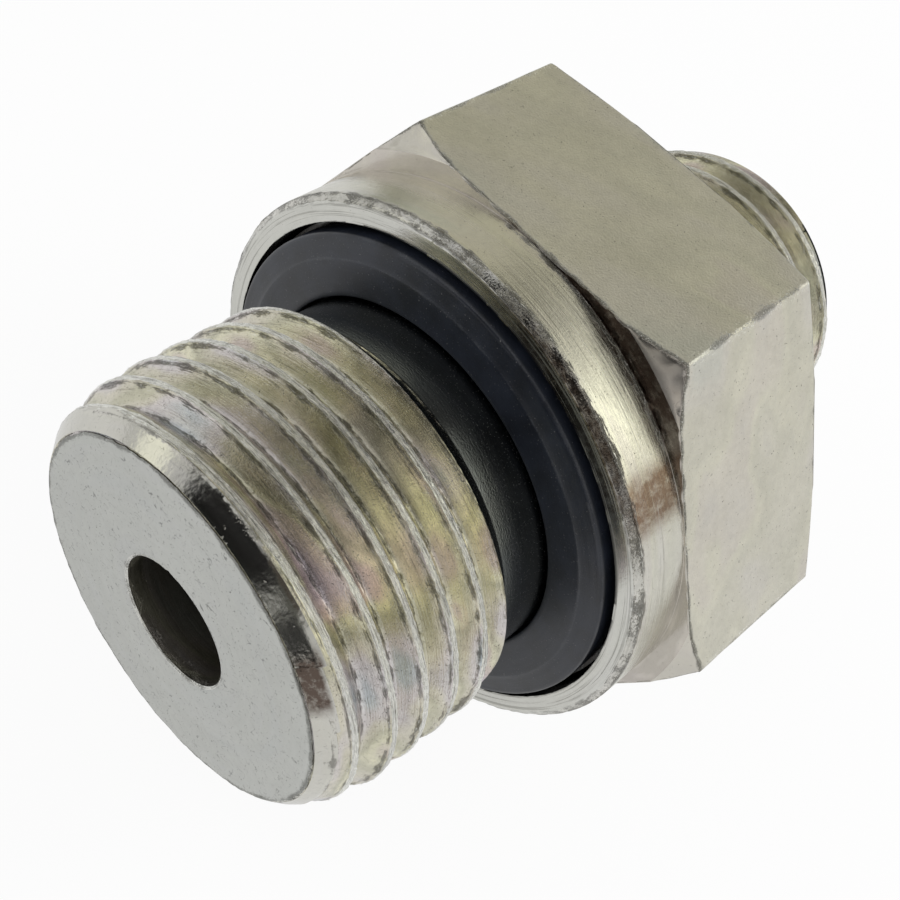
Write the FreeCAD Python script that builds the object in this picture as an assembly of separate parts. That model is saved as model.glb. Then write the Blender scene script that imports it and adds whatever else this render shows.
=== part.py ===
import FreeCAD, Part
import math
import os

# Straight hydraulic adapter: a port stud with a captive sealing ring, a wrench hexagon and a tube stud.
# The fitting's axis is X. The port stud points to -X and the tube stud to +X. The origin is on the axis,
# at the front face of the collar, which seats on the port. One flat of the hexagon faces +Z.
# Lengths are in millimetres and angles in degrees.

# Port stud: screws into the port until the collar seats
PORT_THREAD_D = 18.0
PORT_PITCH = 1.5
PORT_STUD_LENGTH = 12.0
PORT_LEAD = 1.3
PORT_NECK_LENGTH = 3.8
PORT_NECK_RELIEF = 0.08

# Port thread: right-hand, a V groove between narrow flat crests
FLANK_ANGLE = 30.0
CREST_WIDTH = 0.26
THREAD_START = 140.0

# Tube stud, plain at its thread's outer diameter: takes the union nut, the cutting ring and the tube
TUBE_THREAD_D = 14.0
TUBE_STUD_LENGTH = 10.0
TUBE_LEAD = 0.6
TUBE_NECK_LENGTH = 2.4
TUBE_NECK_DEPTH = 1.15
TUBE_OD = 8.0
TUBE_CLEARANCE = 0.05
TUBE_SOCKET_LENGTH = 2.5
CONE_LENGTH = 4.5
CONE_ANGLE = 24.0

# Through passage
PASSAGE_D = 5.5
PASSAGE_EDGE = 0.15

# Sealing ring: an elastomer ring of beveled section, proud of the collar's face
SEAL_WIDTH = 2.6
SEAL_PROUD = 0.5
SEAL_NECK_CLEARANCE = 0.1
SEAL_RECESS_CLEARANCE = 0.3
SEAL_BEVEL_WIDTH = 0.95
SEAL_BEVEL_HEIGHT = 0.18
SEAL_BACK_BEVEL = 0.35
SEAL_EDGE = 0.12

# Collar, with the recess that holds the sealing ring
RECESS_DEPTH = 1.0
COLLAR_RIM = 1.1
COLLAR_LENGTH = 2.7
COLLAR_EDGE = 0.3

# Wrench hexagon, turned to a cone at both ends, flatter at the rear
HEX_ACROSS_FLATS = 24.0
HEX_LENGTH = 8.6
HEX_FRONT_CONE_WIDTH = 1.05
HEX_FRONT_CONE_ANGLE = 30.0
HEX_REAR_CONE_WIDTH = 1.6
HEX_REAR_CONE_ANGLE = 16.0

ORIGIN = FreeCAD.Vector(0, 0, 0)
ALONG_X = FreeCAD.Vector(1, 0, 0)
ALONG_Y = FreeCAD.Vector(0, 1, 0)
ALONG_Z = FreeCAD.Vector(0, 0, 1)

# Places along the axis
PORT_END = -PORT_STUD_LENGTH
HEX_START = COLLAR_LENGTH
HEX_END = HEX_START + HEX_LENGTH
TUBE_END = HEX_END + TUBE_STUD_LENGTH

# Radii that follow from the sizes above
FLANK_SLOPE = math.tan(math.radians(FLANK_ANGLE))
GROOVE_HALF_MOUTH = (PORT_PITCH - CREST_WIDTH) / 2
CREST_R = PORT_THREAD_D / 2
ROOT_R = CREST_R - GROOVE_HALF_MOUTH / FLANK_SLOPE
PORT_NECK_R = ROOT_R - PORT_NECK_RELIEF
SEAL_INNER_R = PORT_NECK_R + SEAL_NECK_CLEARANCE
SEAL_OUTER_R = SEAL_INNER_R + SEAL_WIDTH
RECESS_R = SEAL_OUTER_R + SEAL_RECESS_CLEARANCE
COLLAR_R = RECESS_R + COLLAR_RIM
HEX_CORNER_R = HEX_ACROSS_FLATS / 2 / math.cos(math.radians(30))


def turned(outline):
    """A solid of revolution about X. The outline is a list of (x, radius) corners."""
    points = [FreeCAD.Vector(x, 0, radius) for x, radius in outline]
    face = Part.Face(Part.makePolygon(points + points[:1]))
    return face.revolve(ORIGIN, ALONG_X, 360)


def outer_form():
    """Studs, necks and collar, turned in one outline, with 45 degree leads and shoulders."""
    tube = TUBE_THREAD_D / 2
    tube_neck = tube - TUBE_NECK_DEPTH
    return turned([
        (PORT_END, 0),
        (PORT_END, CREST_R - PORT_LEAD),
        (PORT_END + PORT_LEAD, CREST_R),
        (-PORT_NECK_LENGTH, CREST_R),
        (-PORT_NECK_LENGTH + CREST_R - PORT_NECK_R, PORT_NECK_R),
        (RECESS_DEPTH, PORT_NECK_R),
        (RECESS_DEPTH, RECESS_R),
        (0, RECESS_R),
        (0, COLLAR_R - COLLAR_EDGE),
        (COLLAR_EDGE, COLLAR_R),
        (COLLAR_LENGTH, COLLAR_R),
        (COLLAR_LENGTH, tube_neck),
        (HEX_END + TUBE_NECK_LENGTH - TUBE_NECK_DEPTH, tube_neck),
        (HEX_END + TUBE_NECK_LENGTH, tube),
        (TUBE_END - TUBE_LEAD, tube),
        (TUBE_END, tube - TUBE_LEAD),
        (TUBE_END, 0),
    ])


def wrench_hexagon():
    """A hexagonal bar, common to a turned blank whose ends are cones."""
    corners = []
    for side in range(7):
        angle = math.radians(60 * side)
        corners.append(FreeCAD.Vector(HEX_START, HEX_CORNER_R * math.cos(angle),
                                      HEX_CORNER_R * math.sin(angle)))
    bar = Part.Face(Part.makePolygon(corners)).extrude(FreeCAD.Vector(HEX_LENGTH, 0, 0))
    front_cone = HEX_FRONT_CONE_WIDTH * math.tan(math.radians(HEX_FRONT_CONE_ANGLE))
    rear_cone = HEX_REAR_CONE_WIDTH * math.tan(math.radians(HEX_REAR_CONE_ANGLE))
    blank = turned([
        (HEX_START, 0),
        (HEX_START, HEX_CORNER_R - HEX_FRONT_CONE_WIDTH),
        (HEX_START + front_cone, HEX_CORNER_R),
        (HEX_END - rear_cone, HEX_CORNER_R),
        (HEX_END, HEX_CORNER_R - HEX_REAR_CONE_WIDTH),
        (HEX_END, 0),
    ])
    return bar.common(blank)


def passages():
    """The through passage, the tube's socket and the cone that the cutting ring seals on."""
    passage = PASSAGE_D / 2
    socket = TUBE_OD / 2 + TUBE_CLEARANCE
    mouth = socket + CONE_LENGTH * math.tan(math.radians(CONE_ANGLE / 2))
    return turned([
        (PORT_END, 0),
        (PORT_END, passage + PASSAGE_EDGE),
        (PORT_END + PASSAGE_EDGE, passage),
        (TUBE_END - CONE_LENGTH - TUBE_SOCKET_LENGTH, passage),
        (TUBE_END - CONE_LENGTH - TUBE_SOCKET_LENGTH, socket),
        (TUBE_END - CONE_LENGTH, socket),
        (TUBE_END, mouth),
        (TUBE_END, 0),
    ])


def groove_section():
    """The corners (radius, offset along the axis) of the V groove between two crests.

    Its rim lies a little outside the crest, so that the cut leaves the crest as a strip of the blank's
    own cylinder.
    """
    past_crest = CREST_WIDTH / 4
    half_rim = GROOVE_HALF_MOUTH + past_crest
    rim = CREST_R + past_crest / FLANK_SLOPE
    return [(ROOT_R, 0), (rim, half_rim), (rim, -half_rim)]


def thread_groove():
    """The helical groove, from in front of the stud's end face until it runs out over the neck.

    Each side is ruled between the helices of two corners of the section, and a flat cap closes each end.
    It is built about Z and then turned onto the fitting's axis.
    """
    first = PORT_END - PORT_PITCH
    length = -PORT_NECK_LENGTH + PORT_PITCH - first
    end_angle = math.radians(360 * length / PORT_PITCH)
    coils = []
    first_cap = []
    last_cap = []
    for radius, offset in groove_section():
        coil = Part.makeLongHelix(PORT_PITCH, length, radius, 0)
        coil.translate(FreeCAD.Vector(0, 0, offset))
        coils.append(coil)
        first_cap.append(FreeCAD.Vector(radius, 0, offset))
        last_cap.append(FreeCAD.Vector(radius * math.cos(end_angle), radius * math.sin(end_angle),
                                       length + offset))
    faces = [Part.Face(Part.makePolygon(cap + cap[:1])) for cap in (first_cap, last_cap)]
    for coil, neighbour in zip(coils, coils[1:] + coils[:1]):
        faces += Part.makeRuledSurface(coil, neighbour).Faces
    groove = Part.Solid(Part.Shell(faces))
    if groove.Volume < 0:
        groove.reverse()
    groove.rotate(ORIGIN, ALONG_Z, THREAD_START)
    groove.rotate(ORIGIN, ALONG_Y, 90)
    groove.translate(FreeCAD.Vector(first, 0, 0))
    return groove


def adapter_body():
    """The steel body, turned from hexagonal bar as one piece."""
    body = outer_form().fuse(wrench_hexagon())
    return body.cut(passages()).cut(thread_groove())


def sealing_ring():
    """The elastomer ring. It lies on the recess's floor and clears the neck and the recess's wall."""
    front = -SEAL_PROUD
    back = RECESS_DEPTH
    return turned([
        (front + SEAL_EDGE, SEAL_INNER_R),
        (front, SEAL_INNER_R + SEAL_EDGE),
        (front, SEAL_OUTER_R - SEAL_BEVEL_WIDTH),
        (front + SEAL_BEVEL_HEIGHT, SEAL_OUTER_R),
        (back - SEAL_BACK_BEVEL, SEAL_OUTER_R),
        (back, SEAL_OUTER_R - SEAL_BACK_BEVEL),
        (back, SEAL_INNER_R),
    ])


def export(name, shape):
    """Writes one sub-part and prints what it measures."""
    shape = shape.removeSplitter()
    shape.exportStep(f"parts/{name}.step")
    box = shape.optimalBoundingBox(False, False)
    print(name, "valid", shape.isValid(), "solids", len(shape.Solids), "faces", len(shape.Faces))
    print("  volume %.1f  x %.2f to %.2f  y %.2f to %.2f  z %.2f to %.2f" % (
        shape.Volume, box.XMin, box.XMax, box.YMin, box.YMax, box.ZMin, box.ZMax))


os.makedirs("parts", exist_ok=True)
export("adapter_body", adapter_body())
export("sealing_ring", sealing_ring())
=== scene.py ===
import math

import bmesh
import bpy
import numpy as np
from mathutils import Matrix, Vector


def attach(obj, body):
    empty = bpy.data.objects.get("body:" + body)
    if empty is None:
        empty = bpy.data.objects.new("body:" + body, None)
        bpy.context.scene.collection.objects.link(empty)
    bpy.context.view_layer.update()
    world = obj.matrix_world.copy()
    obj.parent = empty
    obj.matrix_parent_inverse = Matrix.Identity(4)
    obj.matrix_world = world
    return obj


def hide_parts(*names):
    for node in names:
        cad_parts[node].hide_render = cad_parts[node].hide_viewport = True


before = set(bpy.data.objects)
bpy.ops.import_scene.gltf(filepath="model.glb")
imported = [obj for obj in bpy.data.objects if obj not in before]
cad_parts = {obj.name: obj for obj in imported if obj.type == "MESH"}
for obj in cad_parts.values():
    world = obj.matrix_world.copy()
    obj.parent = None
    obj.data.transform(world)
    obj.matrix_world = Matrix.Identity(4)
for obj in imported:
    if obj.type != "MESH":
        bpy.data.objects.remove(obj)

# Hydraulic adapter, dressed. Lengths are in millimetres until a mesh is made, and Blender's unit is the
# metre. The axis is X. Angles go about it from +Y towards +Z, and a turn is 0 to 1.
# Every surface is a section, a closed loop of (x, radius) rows, carried once round the axis.
MM = 0.001

# Meshes: columns round the axis, what is merged or dropped, in metres, and the angle of a sharp edge
THREAD_COLUMNS = 601
ROUND_COLUMNS = 721
MERGE_DISTANCE = 2e-7
NO_LENGTH = 1e-8
SHARP_DEGREES = 38
# The length given to the strip that closes a section, which always lies hidden
CLOSING_STRIP = 1.0

# Port stud
PORT_END = -12.0
CREST_R = 8.92
PITCH = 1.5
CREST_WIDTH = 0.26
THREAD_DEPTH = 0.92
PORT_FACE_R = 7.7
FORMED_FROM = -11.3
FORMED_R = 8.40
FORMED_SLOPE = 0.30
GROOVE_FROM = -11.75
GROOVE_RISE = 0.7
SHOULDER_R = 9.0
PORT_SHOULDER = -3.8
PORT_NECK_R = 7.846
FIRST_CREST = -11.59

# Tube stud
TUBE_END = 21.3
TUBE_CREST_R = 7.0
TUBE_LEAD = 0.6
TUBE_SHOULDER = 13.7
TUBE_NECK_R = 5.85
TUBE_FIRST_CREST = 12.1
CONE_MOUTH_R = 5.007
CONE_BOTTOM = 16.8
SOCKET_R = 4.05
SOCKET_BOTTOM = 14.3

# Passage, collar and recess
PASSAGE_R = 2.75
RECESS_DEPTH = 1.0
RECESS_R = 10.846
RECESS_FILLET = 0.15
COLLAR_R = 11.946
COLLAR_EDGE = 0.3
COLLAR_END = 2.7

# Hexagon
HEX_END = 11.3
HEX_INRADIUS = 12.0
FRONT_FACE_R = 12.806
FRONT_CONE_SLOPE = math.tan(math.radians(30))
REAR_FACE_R = 12.256
REAR_CONE_SLOPE = math.tan(math.radians(16))
HEX_CORNER_FLAT = 0.025
SIDE_DEGREES = 60
CORNER_DEGREES = 1.3
# Extra columns beside a corner, in degrees from it, and shares of a cone's and a flat's length for rows
CORNER_COLUMNS = (0.18, 0.36, 0.8, 1.3)
CONE_SHARES = (0.34, 0.75)
FLAT_SHARES = np.arange(1, 10) / 10
# The corner's burr is the edge's noise, moved along by this many columns from one end to the other
CORNER_SHIFT = 40

# Sealing ring
SEAL_INNER_R = 7.946
SEAL_OUTER_R = 10.546
SEAL_FRONT = -0.5
SEAL_BEVEL_WIDTH = 0.95
SEAL_BEVEL_HEIGHT = 0.18
SEAL_BACK_BEVEL = 0.35
SEAL_LIP = 0.035
SEAL_SWELL = 0.010

# Wear and burrs
BURR = 0.016
RIM_RAG = 0.02
# Ragged lines of a turned edge: fine and coarse periods in columns, and the share of each
EDGE_PERIODS = ((3.0, 9.0), (3.5, 8.0))
EDGE_SHARE = 0.7
CRUMB_SIZE = 1.6
CRUMB_RANGE = (-0.04, 0.06)
NICK_ANGLE = 78.0
NICK_WIDTH = 16.0
NICK_DEPTH = 0.22
NICK_SPREAD = 0.05
SEED = 7
# The collar's rear rim and the hexagon's front are worn, with painted shade in the crease between them,
# between two angles, and a little all round
WEAR_AND_SHADE_FROM = 75
WEAR_AND_SHADE_TO = 155
WEAR_AND_SHADE_SOFT = 20
WEAR_AND_SHADE_LEAST = 0.12
DIP_LEAST = 0.01
DIP_WEAR_AND_SHADE = 0.05

# Zones of the steel, in the order of the list of finishes
(END_FACE, BRIGHT_EDGE, BORE, LEAD, CREST, FLANK, NECK,
 COLLAR_FACE, CHAMFER, BAND, HEX_FRONT, CONE, FLAT, REAR_FACE, CORNER) = range(15)

# Painted shade and reflection, darker where the surroundings that the metal mirrors look dark, and round
# the neck in its shadow: zone, angles between which it lies, how softly it ends, and its share. The neck's
# lies all round.
PORT_PAINTED_SHADE = ((LEAD, 131, 154, 7, 1.0),)
COLLAR_PAINTED_SHADE = (
    (COLLAR_FACE, 84, 154, 18, 0.85),
    (CHAMFER, 90, 152, 18, 0.85),
    (BAND, 131, 146, 5, 0.90),
    (HEX_FRONT, 80, 140, 16, 0.95),
    (CONE, 100, 138, 6, 0.18),
    (NECK, -40, 400, 20, 0.95),
)

rng = np.random.default_rng(SEED)


def wander(count, period, wraps=True):
    """Smooth seeded noise of about unit size: random values every `period` samples, joined by a cubic.

    Where it wraps, the end leads back to the start.
    """
    knots = rng.standard_normal(max(4, int(round(count / period))))
    place = np.arange(count) / count * len(knots)
    low = np.floor(place).astype(int)
    part = place - low
    share = part * part * (3 - 2 * part)
    following = (low + 1) % len(knots) if wraps else np.minimum(low + 1, len(knots) - 1)
    return knots[low % len(knots)] * (1 - share) + knots[following] * share


def mesh_object(name, x, radius, turn, along, marks, zones, materials):
    """Makes a closed mesh from the rows of a section carried round the axis.

    A point at row i and column j is (x, radius cos a, radius sin a), where a is 2 pi turn. The last row
    joins the first, and the last column lies on the first and is merged with it. `along` holds, for
    each row, where the strip behind it starts and ends along the section in millimetres. That becomes
    the UV map's second number, and the turn its first. `marks` holds the named point attributes, and
    `zones` the material of the face behind each point.
    """
    rows, columns = radius.shape
    angle = 2 * math.pi * turn
    points = np.stack([x, radius * np.cos(angle), radius * np.sin(angle)], axis=-1)
    corner = np.arange(rows * columns).reshape(rows, columns)
    below = np.roll(corner, -1, axis=0)
    quads = np.stack([corner[:, :-1], corner[:, 1:], below[:, 1:], below[:, :-1]], axis=-1).reshape(-1, 4)
    mesh = bpy.data.meshes.new(name)
    mesh.from_pydata((points.reshape(-1, 3) * MM).tolist(), [], quads.tolist())
    v = np.broadcast_to(along[:, [0, 0, 1, 1]][:, None, :], (rows, columns - 1, 4))
    u = np.broadcast_to(np.stack([turn[:-1], turn[1:], turn[1:], turn[:-1]], axis=-1)[None], v.shape)
    layer = mesh.uv_layers.new(name="section")
    layer.data.foreach_set("uv", np.stack([u, v], axis=-1).ravel())
    for label, values in marks.items():
        mark = mesh.attributes.new(label, "FLOAT", "POINT")
        mark.data.foreach_set("value", values.astype(np.float32).ravel())
    mesh.polygons.foreach_set("material_index", zones[:, :-1].astype(np.int32).ravel())
    work = bmesh.new()
    work.from_mesh(mesh)
    bmesh.ops.remove_doubles(work, verts=work.verts, dist=MERGE_DISTANCE)
    bmesh.ops.dissolve_degenerate(work, edges=work.edges, dist=NO_LENGTH)
    work.to_mesh(mesh)
    work.free()
    mesh.shade_smooth()
    mesh.set_sharp_from_angle(angle=math.radians(SHARP_DEGREES))
    for material in materials:
        mesh.materials.append(material)
    piece = bpy.data.objects.new(name, mesh)
    bpy.context.scene.collection.objects.link(piece)
    return piece


def ease(value):
    """Rises softly from 0 to 1 as the value does."""
    held = np.clip(value, 0, 1)
    return held * held * (3 - 2 * held)


def painted_shade_share(zones, turn, painted_shades):
    """The share of painted shade at each point. In its zone it rises softly at one angle and falls at
    another.
    """
    degrees = turn * 360
    share = np.zeros(zones.shape)
    for zone, start, end, soft, amount in painted_shades:
        around = ease((degrees - start) / soft) * ease((end - degrees) / soft)
        share = np.where(zones == zone, amount * around, share)
    return share


class Section:
    """The rows of a section, gathered in order. Each value is one number, or an array with one a column."""

    def __init__(self, turn):
        self.turn = turn
        self.x, self.radius, self.edge, self.zone, self.strip = [], [], [], [], []

    def row(self, zone, x, radius, edge=0.0, strip=None):
        """Adds a row. `strip` is where the strip behind it starts and ends along a repeated section."""
        shape = self.turn.shape
        for store, value in ((self.x, x), (self.radius, radius), (self.edge, edge), (self.zone, zone)):
            store.append(np.broadcast_to(value, shape))
        self.strip.append(strip)

    def rows(self, zone, *corners):
        """Adds rows given as (x, radius) or (x, radius, edge)."""
        for corner in corners:
            self.row(zone, *corner)

    def make(self, name, materials, painted_shades=()):
        """Makes the mesh. Lengths along the section are measured 30 degrees round, amid a flat."""
        x, radius, zones = np.array(self.x), np.array(self.radius), np.array(self.zone)
        amid = len(self.turn) // 12
        steps = np.hypot(np.diff(x[:, amid]), np.diff(radius[:, amid]))
        place = np.concatenate([[0.0], np.cumsum(steps), [np.sum(steps) + CLOSING_STRIP]])
        along = np.stack([place[:-1], place[1:]], axis=-1)
        for index, strip in enumerate(self.strip):
            if strip is not None:
                along[index] = strip
        # The second mark is painted shade and reflection
        marks = {"edge": np.array(self.edge), "stain": painted_shade_share(zones, self.turn, painted_shades)}
        return mesh_object(name, x, radius, self.turn, along, marks, zones, materials)


# Rows of a crest: offset along the axis, fall below the crest, edge mark, burr outward and burr along.
# The crest is rounded, with the seam that rolling leaves along its middle.
CREST_ROWS = (
    (0.00, 0.045, 0.40, 0.8, 0.7),
    (0.04, 0.008, 0.05, 0.8, 0.4),
    (0.10, 0.000, 0.05, 0.5, 0.0),
    (0.135, 0.022, 0.60, 0.7, 0.0),
    (0.17, 0.002, 0.05, 0.5, 0.0),
    (0.22, 0.008, 0.05, 0.8, 0.4),
    (0.26, 0.045, 0.40, 0.8, 0.7),
)
# Rows of the groove between two crests. A line of painted shade lies beside each crest and along the root.
GROOVE_OFFSETS = (0.31, 0.42, 0.58, 0.72, 0.82, 0.88, 0.94, 1.04, 1.18, 1.34, 1.45)
GROOVE_CENTRE = 0.88
ROOT_ROUNDING = 0.07
FLANK_DEGREES = 30
CREST_DROP = 0.05
# The two lines of painted shade: distances from the crest's side or the groove's centre, and the edge marks
# there
CREST_SHADE_LINE = ((0.05, 0.16, 0.24), (0.85, 0.1, 0.0))
ROOT_SHADE_LINE = ((0.0, 0.08, 0.16), (0.85, 0.5, 0.0))
GROOVE_BURR = 0.2
LINE_BURR = 0.3
# Ragged lines along the rows: fine and coarse periods in columns, and how far the burr is sunk
OUTWARD_PERIODS = (2.0, 8.0)
SIDEWAYS_PERIODS = (2.5, 12.0)
COARSE_SHARE = 0.4
BURR_SUNK = 0.6
# Where the thread meets its lead or shoulder: reach and strength of the edge mark, and where marks stop
MEETING_REACH = 0.05
MEETING_MARK = 0.7
MARKS_STOP = 0.1


def pitch_profile():
    """The rows of one pitch: offset, fall, edge mark, burr outward, burr along, and zone behind the row."""
    slope = math.tan(math.radians(FLANK_DEGREES))
    rows = [(*row, CREST) for row in CREST_ROWS[:-1]] + [(*CREST_ROWS[-1], FLANK)]
    for offset in GROOVE_OFFSETS:
        near_crest = min(offset - CREST_WIDTH, PITCH - offset)
        straight = near_crest / slope + CREST_DROP
        rounding = math.log1p(math.exp((THREAD_DEPTH - straight) / ROOT_ROUNDING))
        fall = THREAD_DEPTH - ROOT_ROUNDING * rounding
        # Painted shade beside the crest and in the root
        beside_crest = np.interp(near_crest, *CREST_SHADE_LINE)
        in_root = np.interp(abs(offset - GROOVE_CENTRE), *ROOT_SHADE_LINE)
        mark = float(max(beside_crest, in_root))
        rows.append((offset, max(fall, 0.0), mark, GROOVE_BURR + LINE_BURR * mark, 0.0, FLANK))
    return rows


def tremble(samples, fine, coarse):
    """A ragged line for one row of a thread: fine noise with some coarse noise in it."""
    return wander(samples, fine, False) + COARSE_SHARE * wander(samples, coarse, False)


def thread_rows(section, first_crest, crest_radius, ends, height, groove, low, high):
    """Adds the rows of a right-hand thread, which climb one pitch per turn.

    Each row keeps its place in the profile of one pitch. `height(x)` scales the profile about its root
    for a crest at x, and `groove(x)` is 1 where the groove at x is cut and 0 where it isn't. `ends(x)`
    gives the radius that the lead and the shoulder leave at x, and the zone of their surface there. What
    lies outside low to high is drawn back to there.
    """
    turn = section.turn
    columns = len(turn)
    rows = pitch_profile()
    offsets = np.array([row[0] for row in rows])
    falls = np.array([row[1] for row in rows])
    place = np.concatenate([[0.0], np.cumsum(np.hypot(np.diff(offsets), np.diff(falls)))])
    place = np.append(place, place[-1] + math.hypot(PITCH - offsets[-1], falls[-1]))
    begin = math.floor((low - first_crest) / PITCH) - 1
    count = math.ceil((high - low) / PITCH) + 2
    samples = count * (columns - 1) + 1
    outward = [tremble(samples, *OUTWARD_PERIODS) for _ in rows]
    sideways = [tremble(samples, *SIDEWAYS_PERIODS) for _ in rows]
    for crest in range(count):
        span = slice(crest * (columns - 1), crest * (columns - 1) + columns)
        start = first_crest + PITCH * (begin + crest + turn)
        for step, (offset, fall, mark, proud, along, zone) in enumerate(rows):
            share = offset / PITCH
            scale = (1 - share) * height(start) + share * height(start + PITCH)
            top = crest_radius - THREAD_DEPTH * (1 - scale)
            cut = groove(start + GROOVE_CENTRE) if offset > CREST_WIDTH else 1.0
            radius = top - fall * scale * cut + BURR * proud * (outward[step][span] - BURR_SUNK)
            inside = np.clip(start + offset + BURR * along * sideways[step][span], low, high)
            limit, end_zone = ends(inside)
            over = radius - limit
            beside = np.clip(1 - np.abs(over) / MEETING_REACH, 0, 1)
            zones = np.where(over > 0.0, end_zone, zone)
            edge = np.where(over > MARKS_STOP, 0.0, np.maximum(mark, MEETING_MARK * beside))
            strip = (place[step], place[step + 1])
            section.row(zones, inside, np.minimum(radius, limit), edge, strip)


def port_stud(materials):
    """The port stud with its passage, from the end face to the floor of the collar's recess.

    The lead is a 45 degree cone. Behind it the first turns are only part formed, so their crests are
    lower, and in front of the first crest there is no groove.
    """
    turn = np.linspace(0, 1, THREAD_COLUMNS)
    section = Section(turn)
    nick = np.exp(-((turn * 360 - NICK_ANGLE) / NICK_WIDTH) ** 2)
    nick = nick * (0.5 + 0.5 * np.abs(wander(len(turn), 5)))
    spread = NICK_SPREAD * nick
    ragged = RIM_RAG * wander(len(turn), 2.5) + RIM_RAG * wander(len(turn), 9)
    ragged[-1] = ragged[0]
    section.rows(BORE, (RECESS_DEPTH, PASSAGE_R), (-6.0, PASSAGE_R), (PORT_END + 1.0, PASSAGE_R),
                 (PORT_END + 0.35, PASSAGE_R, 0.3))
    section.rows(BRIGHT_EDGE, (PORT_END + 0.07 + NICK_DEPTH * nick, PASSAGE_R, 0.8),
                 (PORT_END + 0.012, PASSAGE_R + 0.06 + spread, 1.0))
    section.rows(END_FACE, (PORT_END, PASSAGE_R + 0.10 + spread, 0.6), (PORT_END, PASSAGE_R + 0.3),
                 (PORT_END, 4.2), (PORT_END, 5.4), (PORT_END, 6.6), (PORT_END, PORT_FACE_R - 0.40),
                 (PORT_END, PORT_FACE_R - 0.20, 0.45), (PORT_END, PORT_FACE_R - 0.07 + ragged, 1.0))
    section.rows(LEAD, (PORT_END + 0.025, PORT_FACE_R - 0.005 + ragged, 1.0))

    def ends(x):
        shoulder = np.maximum(SHOULDER_R - (x - PORT_SHOULDER), PORT_NECK_R)
        return np.minimum(PORT_FACE_R + x - PORT_END, shoulder), np.where(x > PORT_SHOULDER, NECK, LEAD)

    def height(x):
        crest = np.minimum(FORMED_R + FORMED_SLOPE * (x - FORMED_FROM), CREST_R)
        return 1 - (CREST_R - crest) / THREAD_DEPTH

    def groove(x):
        return ease((x - GROOVE_FROM) / GROOVE_RISE)

    neck_start = PORT_SHOULDER + SHOULDER_R - PORT_NECK_R
    thread_rows(section, FIRST_CREST, CREST_R, ends, height, groove, PORT_END + 0.06, neck_start)
    section.rows(NECK, (neck_start + 0.02, PORT_NECK_R), (-2.0, PORT_NECK_R), (-1.0, PORT_NECK_R),
                 (0.4, PORT_NECK_R), (RECESS_DEPTH, PORT_NECK_R), (RECESS_DEPTH, 5.0))
    return section.make("port_stud", materials, PORT_PAINTED_SHADE)


def corner_turns():
    """Columns every half degree, with more beside the hexagon's corners."""
    even = np.linspace(0, 360, ROUND_COLUMNS)
    corners = np.arange(0, 361, SIDE_DEGREES)
    beside = [corners + sign * shift for shift in CORNER_COLUMNS for sign in (-1, 1)]
    degrees = np.round(np.concatenate([even, *beside]), 4)
    return np.unique(degrees[(degrees >= 0) & (degrees <= 360)]) / 360


def edge_noise(columns):
    """Two seeded ragged lines for the edges of a turned piece, each closed on itself."""
    lines = []
    for fine, coarse in EDGE_PERIODS:
        line = EDGE_SHARE * wander(columns, fine) + EDGE_SHARE * wander(columns, coarse)
        line[-1] = line[0]
        lines.append(line)
    return lines


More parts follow.
